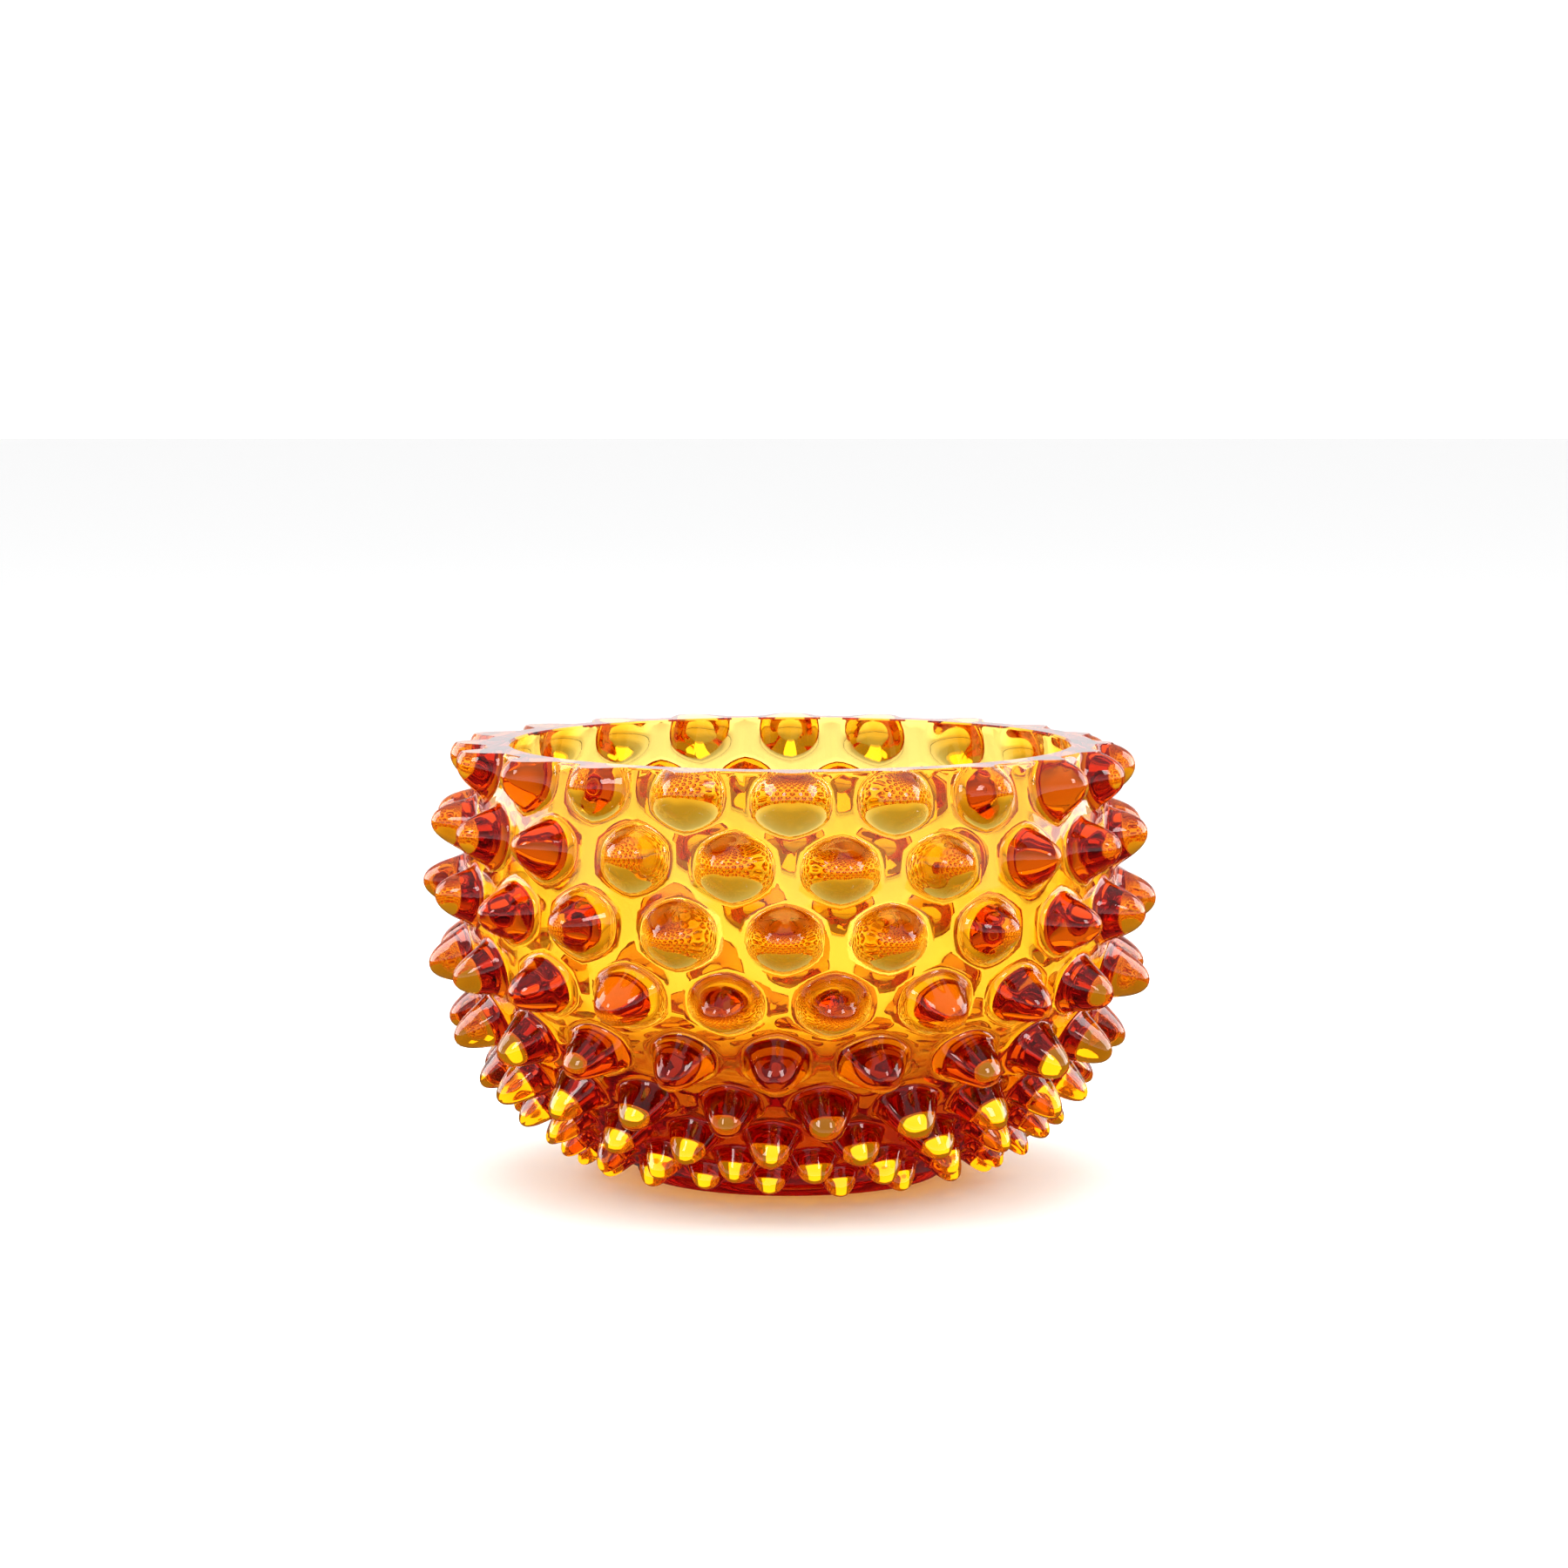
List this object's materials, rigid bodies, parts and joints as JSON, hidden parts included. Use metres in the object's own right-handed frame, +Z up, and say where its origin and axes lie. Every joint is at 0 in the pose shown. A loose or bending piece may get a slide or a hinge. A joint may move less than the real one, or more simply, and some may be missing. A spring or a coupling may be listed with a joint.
{
  "type": "art glass bowl",
  "caption": "Round bowl of thick amber glass, its outside covered with staggered rings of blunt conical knobs, with a smooth inside and a flat ground rim.",
  "frame": {"origin": "centre of the foot ring's flat underside, on the bowl's axis", "axes": "+Z up along the bowl's axis; -Y is the front, +X is to the right seen from the front"},
  "size_m": [0.1819, 0.1819, 0.107],
  "materials": {
    "amber_glass": "clear fire-polished amber glass, ground and polished flat at the rim"
  },
  "bodies": {
    "root": {"glass_bowl": "amber_glass"}
  },
  "joints": []
}
